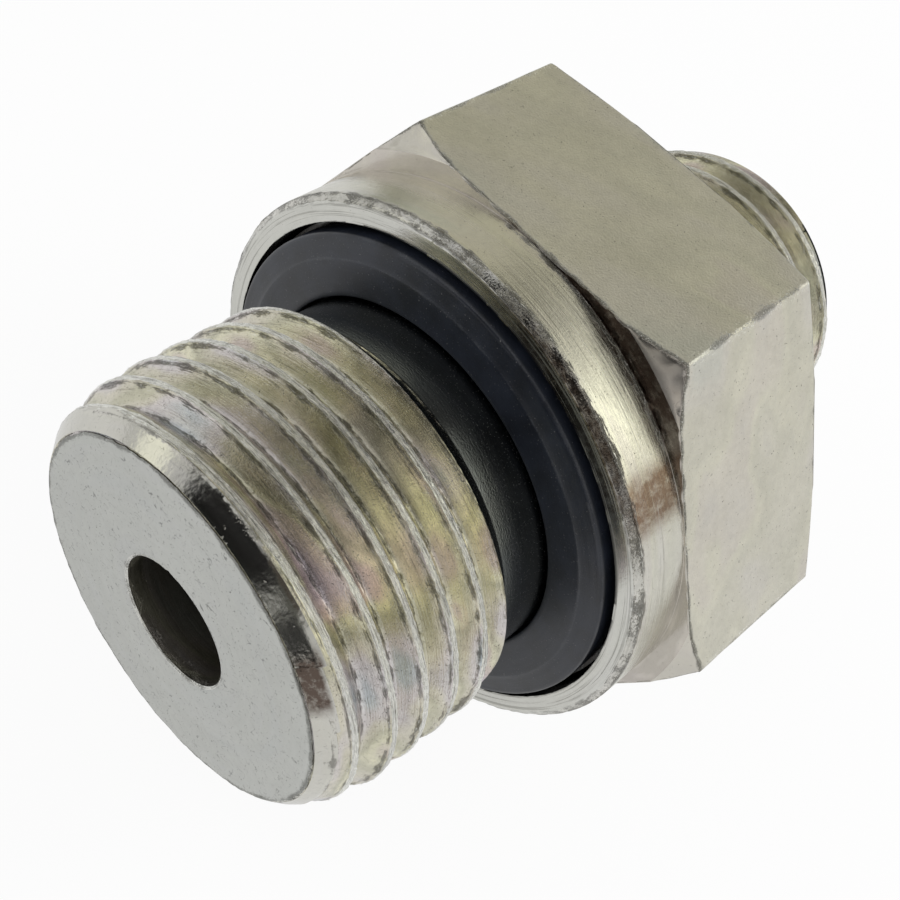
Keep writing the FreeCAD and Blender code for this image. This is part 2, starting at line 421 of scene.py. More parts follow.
def collar_and_hexagon(materials):
    """The collar with its recess and the wrench hexagon, whose flats meet a cone at each end.

    The hexagon's radius is the inradius over the cosine of the angle from the middle of the flat, a
    little less at the corner. A cone meets the flat where its own radius has grown to that.
    """
    turn = corner_turns()
    degrees = turn * 360
    half_side = SIDE_DEGREES / 2
    from_middle = degrees % SIDE_DEGREES - half_side
    flat = HEX_INRADIUS / np.cos(np.radians(from_middle))
    corner = HEX_INRADIUS / math.cos(math.radians(half_side))
    flat = np.minimum(flat, corner - HEX_CORNER_FLAT)
    axial = np.clip(1 - (half_side - np.abs(from_middle)) / CORNER_DEGREES, 0, 1)
    front_face = np.minimum(flat, FRONT_FACE_R)
    rear_face = np.minimum(flat, REAR_FACE_R)
    front = COLLAR_END + np.clip(flat - FRONT_FACE_R, 0, None) * FRONT_CONE_SLOPE
    rear = HEX_END - np.clip(flat - REAR_FACE_R, 0, None) * REAR_CONE_SLOPE
    rough, other = edge_noise(len(turn))
    crumbs = np.clip(CRUMB_SIZE * BURR * other, *CRUMB_RANGE)
    # Wear, and painted shade in the crease, between two angles
    between = ease((degrees - WEAR_AND_SHADE_FROM) / WEAR_AND_SHADE_SOFT) * ease((WEAR_AND_SHADE_TO - degrees) / WEAR_AND_SHADE_SOFT)
    wear_and_shade = WEAR_AND_SHADE_LEAST + (1 - WEAR_AND_SHADE_LEAST) * between
    dip = DIP_LEAST + DIP_WEAR_AND_SHADE * wear_and_shade
    chamfer_r = COLLAR_R - COLLAR_EDGE
    section = Section(turn)
    section.rows(NECK, (RECESS_DEPTH, PASSAGE_R), (RECESS_DEPTH, PORT_NECK_R),
                 (RECESS_DEPTH, RECESS_R - RECESS_FILLET), (RECESS_DEPTH - RECESS_FILLET, RECESS_R),
                 (0.4, RECESS_R), (0.10, RECESS_R))
    section.rows(COLLAR_FACE, (0.02, RECESS_R + 0.01, 0.8),
                 (0.0, RECESS_R + 0.04 + 0.5 * BURR * rough, 0.6), (0.0, RECESS_R + 0.16),
                 (0.0, RECESS_R + 0.4), (0.0, chamfer_r - 0.14),
                 (0.005, chamfer_r - 0.03 + BURR * other, 0.7))
    section.rows(CHAMFER, (0.03, chamfer_r + 0.03 + BURR * rough, 0.8), (0.13, COLLAR_R - 0.17, 0.6),
                 (0.21, COLLAR_R - 0.09, 0.7))
    section.rows(BAND,
                 (COLLAR_EDGE - 0.02 + 1.5 * BURR * rough, COLLAR_R - 0.012 + 0.3 * BURR * other, 1.0),
                 (COLLAR_EDGE + 0.06 + 1.5 * BURR * other, COLLAR_R, 0.7), (COLLAR_EDGE + 0.25, COLLAR_R),
                 (1.0, COLLAR_R), (1.9, COLLAR_R), (COLLAR_END - 0.42, COLLAR_R),
                 (COLLAR_END - 0.24 + BURR * other, COLLAR_R - 0.004, 0.75 * wear_and_shade),
                 (COLLAR_END - 0.15 + BURR * rough, COLLAR_R - 0.012 + 0.4 * BURR * rough, wear_and_shade),
                 (COLLAR_END - 0.07 + BURR * rough, COLLAR_R - 0.004 + 0.4 * BURR * other, wear_and_shade))
    # The band's rear rim and the hexagon's front: burr, and painted shade in the crease between them
    section.rows(HEX_FRONT, (COLLAR_END - 0.01, COLLAR_R - dip, 0.9 * wear_and_shade),
                 (COLLAR_END, COLLAR_R - dip + 0.01), (COLLAR_END, (COLLAR_R + front_face) / 2),
                 (COLLAR_END, front_face - 0.01))
    section.row(CONE, COLLAR_END + 0.01, front_face)
    for share in CONE_SHARES:
        section.row(CONE, COLLAR_END + share * (front - COLLAR_END), front_face + share * (flat - front_face))
    section.row(CONE, front - 0.02 + crumbs, flat - 0.06 + 0.3 * BURR * other, 0.75)
    along_flat = np.where(axial > 0.05, CORNER, FLAT)
    section.rows(FLAT, (front + 0.01 + crumbs, flat - 0.03 + 0.5 * BURR * rough, 1.0),
                 (front + 0.05 + 1.3 * crumbs, flat + 0.3 * BURR * (rough - 1) * axial, 0.95),
                 (front + 0.15, flat, 0.45))
    section.row(along_flat, front + 0.26, flat, 0.7 * axial)
    for share in FLAT_SHARES:
        ragged = -BURR * axial * np.clip(np.roll(other, int(CORNER_SHIFT * share)), 0, 2)
        section.row(along_flat, front + share * (rear - front), flat + ragged, axial)
    section.rows(along_flat, (rear - 0.26, flat, 0.7 * axial), (rear - 0.10, flat, 0.3 + 0.4 * axial),
                 (rear - 0.04 + BURR * rough, flat, 0.5))
    section.rows(REAR_FACE, (rear - 0.005, flat - 0.02, 0.4),
                 ((rear + HEX_END) / 2, (flat + rear_face) / 2), (HEX_END - 0.005, rear_face),
                 (HEX_END, rear_face - 0.03), (HEX_END, 9.5), (HEX_END, TUBE_NECK_R), (HEX_END, PASSAGE_R))
    section.radius = [np.minimum(row, flat) for row in section.radius]
    return section.make("collar_and_hexagon", materials, COLLAR_PAINTED_SHADE)


def tube_stud(materials):
    """The tube stud, with the 24 degree cone and the socket that the tube goes into."""
    section = Section(np.linspace(0, 1, THREAD_COLUMNS))
    rim = TUBE_CREST_R - TUBE_LEAD
    neck_end = TUBE_SHOULDER - (TUBE_CREST_R - TUBE_NECK_R)

    def ends(x):
        shoulder = np.maximum(TUBE_CREST_R + (x - TUBE_SHOULDER), TUBE_NECK_R)
        return np.minimum(rim + (TUBE_END - x), shoulder), np.where(x > TUBE_SHOULDER, LEAD, BAND)

    def whole(x):
        return np.ones_like(x)

    section.rows(BAND, (HEX_END, PASSAGE_R), (HEX_END, TUBE_NECK_R), (neck_end - 0.6, TUBE_NECK_R))
    thread_rows(section, TUBE_FIRST_CREST, TUBE_CREST_R - 0.03, ends, whole, whole, neck_end, TUBE_END - 0.05)
    section.rows(LEAD, (TUBE_END - 0.02, rim - 0.005, 1.0))
    section.rows(END_FACE, (TUBE_END, rim - 0.06, 0.6), (TUBE_END, (rim + CONE_MOUTH_R) / 2),
                 (TUBE_END, CONE_MOUTH_R + 0.05, 0.6))
    section.rows(BAND, (TUBE_END - 0.05, CONE_MOUTH_R - 0.01, 1.0), (TUBE_END - 0.3, CONE_MOUTH_R - 0.06),
                 (TUBE_END - 2.0, 4.6), (CONE_BOTTOM, SOCKET_R))
    section.rows(BORE, (CONE_BOTTOM - 0.6, SOCKET_R), (SOCKET_BOTTOM, SOCKET_R),
                 (SOCKET_BOTTOM, PASSAGE_R + 0.1), (SOCKET_BOTTOM - 0.1, PASSAGE_R))
    return section.make("tube_stud", materials)


def sealing_ring(material):
    """The elastomer ring: a flat front, a shallow bevel with a fine lip at its inner edge, soft corners."""
    turn = np.linspace(0, 1, ROUND_COLUMNS)
    section = Section(turn)
    bevel = SEAL_OUTER_R - SEAL_BEVEL_WIDTH
    bevel_end = SEAL_FRONT + SEAL_BEVEL_HEIGHT
    swell = SEAL_SWELL * wander(len(turn), 60)
    swell[-1] = swell[0]
    section.rows(0, (RECESS_DEPTH, SEAL_INNER_R), (0.5, SEAL_INNER_R), (SEAL_FRONT + 0.25, SEAL_INNER_R),
                 (SEAL_FRONT + 0.12, SEAL_INNER_R + 0.02, 0.6), (SEAL_FRONT + 0.04, SEAL_INNER_R + 0.07, 0.8),
                 (SEAL_FRONT + 0.005, SEAL_INNER_R + 0.16, 0.4), (SEAL_FRONT, SEAL_INNER_R + 0.30),
                 (SEAL_FRONT + np.abs(swell), 8.8), (SEAL_FRONT, bevel - 0.16),
                 (SEAL_FRONT, bevel - 0.07, 0.7), (SEAL_FRONT + 0.012, bevel - 0.01, 1.0),
                 (SEAL_FRONT + SEAL_LIP, bevel + 0.05, 0.5))
    for part in (0.2, 0.4, 0.6, 0.8):
        section.row(0, SEAL_FRONT + SEAL_LIP + part * (SEAL_BEVEL_HEIGHT - SEAL_LIP) + swell,
                    bevel + part * SEAL_BEVEL_WIDTH)
    section.rows(0, (bevel_end - 0.02, SEAL_OUTER_R - 0.09, 0.3),
                 (bevel_end + 0.03, SEAL_OUTER_R - 0.025, 0.9), (bevel_end + 0.12, SEAL_OUTER_R, 0.5),
                 (0.0, SEAL_OUTER_R), (RECESS_DEPTH - SEAL_BACK_BEVEL, SEAL_OUTER_R),
                 (RECESS_DEPTH, SEAL_OUTER_R - SEAL_BACK_BEVEL))
    return section.make("sealing_ring_skin", [material])


# Shader helpers. What a node reads is given as a plain value or as a (node, output) pair.
NODES_IN_A_COLUMN = 5
NODE_WIDTH = 240
NODE_HEIGHT = 320
# A Mix node keeps sockets for each kind of data: two inputs and an output
MIX_SOCKETS = {"VECTOR": (4, 5, 1), "RGBA": (6, 7, 2)}
# How streaks lean along the axis, to the side and upwards
LEAN_SIDE = 1.3
LEAN_UP = -0.9
# How far off the bright specks read the noise that the dark ones read, in millimetres
SPECK_SHIFT = (31.0, 21.7, 9.3)


def feed(tree, value, socket):
    """Links a pair to an input, or sets the input to a plain value."""
    if isinstance(value, tuple) and isinstance(value[0], bpy.types.Node):
        tree.links.new(value[0].outputs[value[1]], socket)
    else:
        socket.default_value = value


def wire(tree, end, **values):
    """Feeds a node's inputs, which are named with underscores for spaces."""
    for key, value in values.items():
        feed(tree, value, end.inputs[key.replace("_", " ")])


def node(tree, kind, **values):
    """Adds a node in the next free place of the editor. Values name its properties or its inputs."""
    column, row = divmod(len(tree.nodes), NODES_IN_A_COLUMN)
    made = tree.nodes.new(kind)
    made.location = (NODE_WIDTH * column, -NODE_HEIGHT * row)
    for key in [key for key in values if hasattr(made, key)]:
        setattr(made, key, values.pop(key))
    wire(tree, made, **values)
    return made


def group(name, inputs, outputs):
    """A new shader node group with named inputs and their values, and outputs that are numbers or Color."""
    tree = bpy.data.node_groups.new(name, "ShaderNodeTree")
    for label, value in inputs.items():
        kind = "NodeSocketColor" if isinstance(value, tuple) else "NodeSocketFloat"
        tree.interface.new_socket(name=label, in_out="INPUT", socket_type=kind).default_value = value
    for label in outputs:
        kind = "NodeSocketColor" if label == "Color" else "NodeSocketFloat"
        tree.interface.new_socket(name=label, in_out="OUTPUT", socket_type=kind)
    return tree, node(tree, "NodeGroupInput"), node(tree, "NodeGroupOutput")


def use(tree, shared, **values):
    """Places a shared group in a material with its own input values."""
    return node(tree, "ShaderNodeGroup", node_tree=shared, **values)


def math_node(tree, operation, *values, clamp=False):
    """The outcome of a Math node, as a pair."""
    made = node(tree, "ShaderNodeMath", operation=operation, use_clamp=clamp)
    for value, socket in zip(values, made.inputs):
        feed(tree, value, socket)
    return made, 0


def product(tree, first, second, clamp=False):
    """One value times another."""
    return math_node(tree, "MULTIPLY", first, second, clamp=clamp)


def scaled(tree, value, gain, start, clamp=False):
    """A value times a gain, added to a start."""
    return math_node(tree, "MULTIPLY_ADD", value, gain, start, clamp=clamp)


def rise(tree, value, limit, slope):
    """0 up to the limit, and from there rising by the slope to 1 at most."""
    return product(tree, math_node(tree, "SUBTRACT", value, limit), slope, clamp=True)


def mix(tree, share, first, second, kind="RGBA", blend="MIX"):
    """Two values mixed by a share."""
    one, other, output = MIX_SOCKETS[kind]
    made = node(tree, "ShaderNodeMix", data_type=kind, blend_type=blend)
    for value, index in ((share, 0), (first, one), (second, other)):
        feed(tree, value, made.inputs[index])
    return made, output


def mix_shaders(tree, share, first, second):
    """Two shader nodes mixed by a share."""
    made = node(tree, "ShaderNodeMixShader")
    for value, socket in zip((share, (first, 0), (second, 0)), made.inputs):
        feed(tree, value, socket)
    return made


def noise_at(tree, where, **values):
    """A noise texture read at the given coordinates."""
    return node(tree, "ShaderNodeTexNoise", Vector=where, **values), 0


def ramp(tree, value, stops, smooth=False):
    """The colour of a value between stops (position, colour)."""
    made = node(tree, "ShaderNodeValToRGB")
    feed(tree, value, made.inputs[0])
    made.color_ramp.interpolation = "EASE" if smooth else "LINEAR"
    elements = made.color_ramp.elements
    while len(elements) < len(stops):
        elements.new(0.5)
    for element, (position, colour) in zip(elements, stops):
        element.position = position
        element.color = (*colour, 1)
    return made, 0


def millimetres(tree):
    """Object coordinates in millimetres."""
    where = node(tree, "ShaderNodeTexCoord")
    return node(tree, "ShaderNodeVectorMath", operation="SCALE", Vector=(where, "Object"), Scale=1 / MM), 0


def along_and_round(tree, per_mm, length):
    """Coordinates for streaks that run round the piece.

    The first is the place along the section, so a streak is thin across it. The others follow the place
    round the axis slowly, so a streak is about `length` millimetres long. They lean with the axis, so two
    threads side by side differ.
    """
    section = node(tree, "ShaderNodeUVMap", uv_map="section")
    split = node(tree, "ShaderNodeSeparateXYZ", Vector=(section, 0))
    parts = node(tree, "ShaderNodeSeparateXYZ", Vector=millimetres(tree))
    across = product(tree, (split, 1), per_mm)
    leaning = scaled(tree, (parts, 0), LEAN_SIDE, (parts, 1))
    tipping = scaled(tree, (parts, 0), LEAN_UP, (parts, 2))
    side = math_node(tree, "DIVIDE", leaning, length)
    height = math_node(tree, "DIVIDE", tipping, length)
    return node(tree, "ShaderNodeCombineXYZ", X=across, Y=side, Z=height), 0


def turning_marks_group():
    """Tool marks that run round the piece, each a few millimetres long, in a finer and a coarser set.

    Height is centred about 0 and Mask about 0.5. Lines holds the thin dark scratches among them, which lie
    where the finer noise is below Share.
    """
    tree, given, result = group("turning_marks", {"Per mm": 14.0, "Length": 3.0, "Share": 0.40},
                                ("Height", "Mask", "Lines"))
    place = along_and_round(tree, (given, "Per mm"), (given, "Length"))
    fine = noise_at(tree, place, Scale=1.0, Detail=4.0, Roughness=0.75)
    coarse = noise_at(tree, place, Scale=0.22, Detail=2.0, Roughness=0.5)
    both = scaled(tree, coarse, gain=0.6, start=fine)
    centred = math_node(tree, "SUBTRACT", both, 0.8)
    wire(tree, result, Height=centred, Mask=scaled(tree, centred, gain=1.6, start=0.5, clamp=True),
         Lines=rise(tree, (given, "Share"), fine, slope=16.0))
    return tree


def specks_group():
    """Small dark pits and bright grains: two noises, each cut near its top, lower for a larger Amount."""
    tree, given, result = group("specks", {"Size": 0.12, "Amount": 0.5}, ("Dark", "Bright", "Grain"))
    where = millimetres(tree)
    elsewhere = node(tree, "ShaderNodeVectorMath", operation="ADD", Vector=where)
    elsewhere.inputs[1].default_value = SPECK_SHIFT
    finer = math_node(tree, "DIVIDE", 1.0, (given, "Size"))
    cut = scaled(tree, (given, "Amount"), gain=-0.14, start=0.76)
    dark = noise_at(tree, where, Scale=finer, Detail=1.5, Roughness=0.6)
    bright = noise_at(tree, (elsewhere, 0), Scale=finer, Detail=1.5, Roughness=0.6)
    wire(tree, result, Dark=rise(tree, dark, cut, slope=14.0), Bright=rise(tree, bright, cut, slope=14.0),
         Grain=bright)
    return tree


def dashes_group():
    """Short thin dashes, as lint and scratches leave: the middle line of a warped noise.

    It's kept only where a second noise is high, lower for a larger Amount.
    """
    tree, given, result = group("dashes", {"Size": 0.5, "Width": 0.012, "Amount": 0.5}, ("Mask",))
    where = millimetres(tree)
    finer = math_node(tree, "DIVIDE", 1.0, (given, "Size"))
    path = noise_at(tree, where, Scale=finer, Detail=1.0, Distortion=0.8)
    distance = math_node(tree, "ABSOLUTE", math_node(tree, "SUBTRACT", path, 0.5))
    line = rise(tree, (given, "Width"), distance, slope=120.0)
    kept = noise_at(tree, where, Scale=product(tree, finer, 2.2), Detail=1.0)
    cut = scaled(tree, (given, "Amount"), gain=-0.16, start=0.68)
    wire(tree, result, Mask=product(tree, line, rise(tree, kept, cut, slope=20.0)))
    return tree


def burr_group():
    """Where an edge is broken: the edge mark, which falls off over a tenth or two, and two noises with it.

    The coarse one leaves the edge whole in places, and the fine one crumbles it. Streak draws the fine
    one's grains out into slivers along the edge. The painted glint is highest on the tops of the grains.
    Where the mark lies in the thread's groove and the collar's crease, the mask is painted shade.
    """
    tree, given, result = group("burr", {"Width": 0.5, "Grain": 0.07, "Streak": 0.0},
                                ("Mask", "Height", "Sparkle"))
    attribute = node(tree, "ShaderNodeAttribute", attribute_name="edge")
    mark = (attribute, "Fac")
    where = millimetres(tree)
    finer = math_node(tree, "DIVIDE", 1.0, (given, "Grain"))
    grains = node(tree, "ShaderNodeVectorMath", operation="SCALE", Vector=where, Scale=finer)
    slivers = along_and_round(tree, per_mm=16.0, length=0.5)
    chosen = mix(tree, (given, "Streak"), (grains, 0), slivers, kind="VECTOR")
    fine = noise_at(tree, chosen, Scale=1.0, Detail=3.0, Roughness=0.75)
    coarse = noise_at(tree, where, Scale=1.1, Detail=1.0)
    crumbled = scaled(tree, fine, gain=1.8, start=-0.9)
    swayed = scaled(tree, coarse, gain=1.6, start=-0.8)
    lasting = math_node(tree, "ADD", mark, swayed)
    total = math_node(tree, "ADD", lasting, crumbled)
    broken = rise(tree, total, (given, "Width"), slope=3.0)
    mask = product(tree, broken, product(tree, mark, 4.0, clamp=True))
    # Painted glints: a bright colour on the tops of the grains along an edge
    painted_glint = product(tree, rise(tree, fine, 0.555, slope=10.0), mark)
    wire(tree, result, Mask=mask, Height=product(tree, mask, fine), Sparkle=painted_glint)
    return tree


# The plating's hues, each with the value of the film's noise where it lies
PLATING_HUES = (
    (0.28, (0.52, 0.58, 0.62)), (0.38, (0.70, 0.65, 0.65)), (0.46, (0.67, 0.63, 0.50)),
    (0.52, (0.54, 0.52, 0.37)), (0.58, (0.78, 0.75, 0.54)), (0.65, (0.68, 0.58, 0.53)),
    (0.76, (0.60, 0.53, 0.60)),
)


def plating_group():
    """The plating's colour: its grey drawn towards olive, straw, rose and lilac.

    The film's thickness follows the section, so a colour runs round the piece as a broad soft stripe and
    changes slowly along it.
    """
    inputs = {"Grey": (0.62, 0.61, 0.57, 1), "Tint": 0.4, "Stripes per mm": 0.9, "Patch": 5.0, "Mottle": 0.1}
    tree, given, result = group("plating", inputs, ("Color",))
    place = along_and_round(tree, (given, "Stripes per mm"), (given, "Patch"))
    film = noise_at(tree, place, Scale=1.0, Detail=2.0, Roughness=0.35)
    hue = ramp(tree, film, PLATING_HUES, smooth=True)
    tinted = mix(tree, (given, "Tint"), (given, "Grey"), hue)
    where = millimetres(tree)
    fine = noise_at(tree, where, Scale=3.2, Detail=5.0, Roughness=0.7)
    broad = noise_at(tree, where, Scale=0.45, Detail=2.0)
    both = scaled(tree, broad, gain=0.7, start=fine)
    centred = math_node(tree, "SUBTRACT", both, 0.85)
    change = scaled(tree, centred, (given, "Mottle"), 1.0)
    varied = node(tree, "ShaderNodeVectorMath", operation="SCALE", Vector=tinted, Scale=change)
    wire(tree, result, Color=(varied, 0))
    return tree


def painted_shade_group():
    """Painted shade: the point mark, uneven by a noise, through which scratches shine."""
    tree, given, result = group("stain", {"Lines": 0.0}, ("Mask",))
    mark = node(tree, "ShaderNodeAttribute", attribute_name="stain")
    noise = noise_at(tree, millimetres(tree), Scale=2.2, Detail=5.0, Roughness=0.75)
    patchy = product(tree, (mark, "Fac"), scaled(tree, noise, gain=2.4, start=-0.2), clamp=True)
    between = scaled(tree, (given, "Lines"), gain=-0.9, start=1.0)
    wire(tree, result, Mask=product(tree, patchy, between))
    return tree


def shaded(tree, colour, mask, towards):
    """A colour multiplied by `towards` where the mask is 1."""
    return mix(tree, mask, colour, (*towards, 1), blend="MULTIPLY")


def new_material(name, metallic):
    """A material, its tree and its Principled node, which is wired to the output."""
    material = bpy.data.materials.new(name)
    material.use_nodes = True
    tree = material.node_tree
    tree.nodes.clear()
    shader = node(tree, "ShaderNodeBsdfPrincipled", Metallic=metallic)
    node(tree, "ShaderNodeOutputMaterial", Surface=(shader, 0))
    return material, tree, shader


def bump(tree, height):
    """The normal of a surface with a height in millimetres."""
    return node(tree, "ShaderNodeBump", Strength=1.0, Distance=MM, Height=height), 0


# What scratches, pits, lint, broken edges and painted shade in creases multiply the plating by, and the
# colour of the painted glints on an edge's grains
SCRATCH_SHADE = (0.25, 0.24, 0.22)
PIT_SHADE = (0.35, 0.33, 0.31)
LINT_SHADE = (0.2, 0.2, 0.2)
BURR_AND_CREASE_SHADE = (0.10, 0.095, 0.08)
PAINTED_GLINT_COLOUR = (0.95, 0.95, 0.90)
# How far the tool marks and the pits change the roughness, and the depth of a pit
MARKS_ROUGHNESS = 0.14
PIT_ROUGHNESS = 0.25
PIT_DEPTH = 0.010


def steel(name, groups, grey, roughness, tint=0.1, stripes=0.9, patch=5.0, marks=14.0, mark_length=3.0,
          mark_depth=0.006, line_share=0.40, line_shade=0.2, line_rough=0.0, speck=0.3, speck_size=0.10,
          grain=0.002, dash=0.0, dash_shade=0.4, mottle=0.15, burr_width=0.6, burr_depth=0.02,
          burr_and_crease_shade=0.6, streak=0.0, painted_glint_share=0.4, painted_shade_tone=(0.22, 0.19, 0.175)):
    """Zinc plated steel.

    The plating's colour is darkened by scratches, pits and dashes, and along the broken edges and in the
    painted shade of creases; painted glints lie on the edges' grains, and painted shade and reflection lie
    over it all. Roughness follows the tool marks, and the bump is marks, grain, pits and burr together.
    """
    material, tree, shader = new_material(name, metallic=1.0)
    colour = use(tree, groups["plating"], Grey=(*grey, 1), Tint=tint, Patch=patch, Stripes_per_mm=stripes,
                 Mottle=mottle)
    lines = use(tree, groups["turning_marks"], Per_mm=marks, Length=mark_length, Share=line_share)
    spots = use(tree, groups["specks"], Size=speck_size, Amount=speck)
    lint = use(tree, groups["dashes"], Amount=dash)
    edges = use(tree, groups["burr"], Width=burr_width, Streak=streak)
    stain = use(tree, groups["stain"], Lines=(lines, "Lines"))
    lined = shaded(tree, (colour, 0), product(tree, (lines, "Lines"), line_shade), SCRATCH_SHADE)
    pitted = shaded(tree, lined, (spots, "Dark"), PIT_SHADE)
    dashed = shaded(tree, pitted, product(tree, (lint, "Mask"), dash_shade), LINT_SHADE)
    # Broken edges, and painted shade in the thread's groove and the collar's crease
    wear_and_shade = shaded(tree, dashed, product(tree, (edges, "Mask"), burr_and_crease_shade), BURR_AND_CREASE_SHADE)
    # Painted glints on the edges' grains
    with_painted_glints = mix(tree, product(tree, (edges, "Sparkle"), painted_glint_share), wear_and_shade, (*PAINTED_GLINT_COLOUR, 1))
    # Painted shade and reflection, darker where the surroundings that the metal mirrors look dark
    with_painted_shade = shaded(tree, with_painted_glints, (stain, 0), painted_shade_tone)
    rough = scaled(tree, (lines, "Mask"), MARKS_ROUGHNESS, roughness - MARKS_ROUGHNESS / 2)
    scuffed = scaled(tree, (lines, "Lines"), line_rough, rough)
    pocked = scaled(tree, (spots, "Dark"), PIT_ROUGHNESS, scuffed, clamp=True)
    height = product(tree, (lines, "Height"), mark_depth)
    for relief, depth in (((spots, "Grain"), grain), ((spots, "Dark"), -PIT_DEPTH),
                          ((edges, "Height"), burr_depth)):
        height = scaled(tree, relief, depth, height)
    wire(tree, shader, Base_Color=with_painted_shade, Roughness=pocked, Normal=bump(tree, height))
    return material


# The elastomer's tones, its dust and its rubbed lip
ELASTOMER_TONES = ((0.35, (0.009, 0.011, 0.016)), (0.65, (0.018, 0.022, 0.033)))
DUST_COLOUR = (0.16, 0.16, 0.16)
LIP_COLOUR = (0.07, 0.075, 0.085)
LIP_SHARE = 0.35
ELASTOMER_ROUGHNESS = 0.26
MOULDING_ROUGHNESS = 0.16
MOULDING_DEPTH = 0.006
DUST_HEIGHT = 0.01
GRAIN_HEIGHT = 0.004


def elastomer(groups):
    """Black elastomer: a cool satin skin with faint moulding lines, a greyed lip and light dust."""
    material, tree, shader = new_material("seal_elastomer", metallic=0.0)
    cloud = noise_at(tree, millimetres(tree), Scale=0.7, Detail=3.0)
    spots = use(tree, groups["specks"], Size=0.07, Amount=0.45)
    edges = use(tree, groups["burr"], Width=0.7)
    lines = use(tree, groups["turning_marks"], Per_mm=6.0, Length=4.0)
    dusty = mix(tree, (spots, "Bright"), ramp(tree, cloud, ELASTOMER_TONES), (*DUST_COLOUR, 1))
    rubbed = mix(tree, product(tree, (edges, "Mask"), LIP_SHARE), dusty, (*LIP_COLOUR, 1))
    rough = scaled(tree, (lines, "Mask"), MOULDING_ROUGHNESS, ELASTOMER_ROUGHNESS)
    moulded = product(tree, (lines, "Height"), MOULDING_DEPTH)
    dust = scaled(tree, (spots, "Bright"), DUST_HEIGHT, moulded)
    height = scaled(tree, (spots, "Grain"), GRAIN_HEIGHT, dust)
    wire(tree, shader, Base_Color=rubbed, Roughness=rough, Normal=bump(tree, height))
    return material


# Studio. The camera's place, axes and lens were fitted to the photo's outlines.
CAMERA_PLACE = (-29.42, -17.31, 44.13)
CAMERA_RIGHT = (0.69961, -0.6725, 0.24144)
CAMERA_UP = (0.44831, 0.67625, 0.58455)
CAMERA_LENS = 54.016
SENSOR_WIDTH = 36.0
NEAREST = 1
FURTHEST = 10000
FLOOR = -12.0
FLOOR_HALF = 400
FLOOR_GREY = 0.8
FLOOR_WHITE = 0.93
FLOOR_GLOW = 0.75
MIRRORED_DIMMING = 0.17
WHITE = (1, 1, 1, 1)


def heading(azimuth, elevation):
    """The unit vector towards a place in the sky, in degrees from +X towards +Y and up from the floor."""
    around, up = math.radians(azimuth), math.radians(elevation)
    return (math.cos(up) * math.cos(around), math.cos(up) * math.sin(around), math.sin(up))


def camera():
    """Looks from the photo's place. Its matrix holds the axes as columns, with the one behind it third."""
    data = bpy.data.cameras.new("camera")
    data.lens = CAMERA_LENS
    data.sensor_width = SENSOR_WIDTH
    data.clip_start = NEAREST * MM
    data.clip_end = FURTHEST * MM
    eye = bpy.data.objects.new("camera", data)
    right, up = np.array(CAMERA_RIGHT), np.array(CAMERA_UP)
    placed = Matrix.Identity(4)
    for column, axis in enumerate((right, up, np.cross(right, up), np.array(CAMERA_PLACE) * MM)):
        for row in range(3):
            placed[row][column] = axis[row]
    eye.matrix_world = placed
    bpy.context.scene.collection.objects.link(eye)
    bpy.context.scene.camera = eye


def lamp(name, azimuth, elevation, distance, size, power):
    """A square soft box that looks at the origin. The metal mirrors the tent instead of it."""
    data = bpy.data.lights.new(name, "AREA")
    data.shape = "SQUARE"
    data.size = size * MM
    data.energy = power
    box = bpy.data.objects.new(name, data)
    direction = Vector(heading(azimuth, elevation))
    box.location = direction * distance * MM
    box.rotation_euler = direction.to_track_quat("Z", "Y").to_euler()
    box.visible_glossy = False
    bpy.context.scene.collection.objects.link(box)


def lobe(tree, sight, azimuth, elevation, inner, outer):
    """1 within `inner` degrees of a heading, falling softly to 0 at `outer` degrees."""
    towards = node(tree, "ShaderNodeVectorMath", operation="DOT_PRODUCT", Vector=(sight, "Generated"))
    towards.inputs[1].default_value = heading(azimuth, elevation)
    least, most = (math.cos(math.radians(angle)) for angle in (outer, inner))
    return node(tree, "ShaderNodeMapRange", interpolation_type="SMOOTHSTEP", Value=(towards, "Value"),
                From_Min=least, From_Max=most), 0


# What the metal mirrors between the lobes, and how strongly the sky lights all but mirrors
SKY_BASE = 0.62
SKY_DIFFUSE = 0.72
# Soft parts of the tent that the metal mirrors, the later over the earlier: azimuth, elevation, inner and
# outer degrees, and the colour there
SKY_LOBES = (
    (55, 0, 10, 34, (0.42, 0.43, 0.37)),
    (53, -1, 5, 12, (0.26, 0.27, 0.19)),
    (50, 16, 2, 8, (0.68, 0.70, 0.55)),
    (30, 45, 20, 44, (0.55, 0.53, 0.43)),
    (-25, 45, 10, 30, (0.90, 0.88, 0.78)),
    (8, 70, 14, 24, (0.10, 0.095, 0.09)),
    (-63, 24, 14, 30, (1.18, 1.14, 1.00)),
    (-38, 31, 7, 18, (1.85, 1.85, 1.62)),
    (-51, -6, 4, 15, (0.50, 0.46, 0.40)),
    (130, 10, 4, 11, (1.10, 1.10, 0.98)),
    (168, 3, 11, 18, (0.12, 0.105, 0.09)),
    (-147, 4, 9, 17, (0.04, 0.04, 0.04)),
    (-152, 30, 10, 20, (0.10, 0.10, 0.09)),
    (-137, 43, 10, 22, (0.07, 0.06, 0.05)),
    (-169, -6, 6, 12, (1.05, 0.98, 0.82)),
    (174, 28, 18, 30, (0.012, 0.012, 0.012)),
)


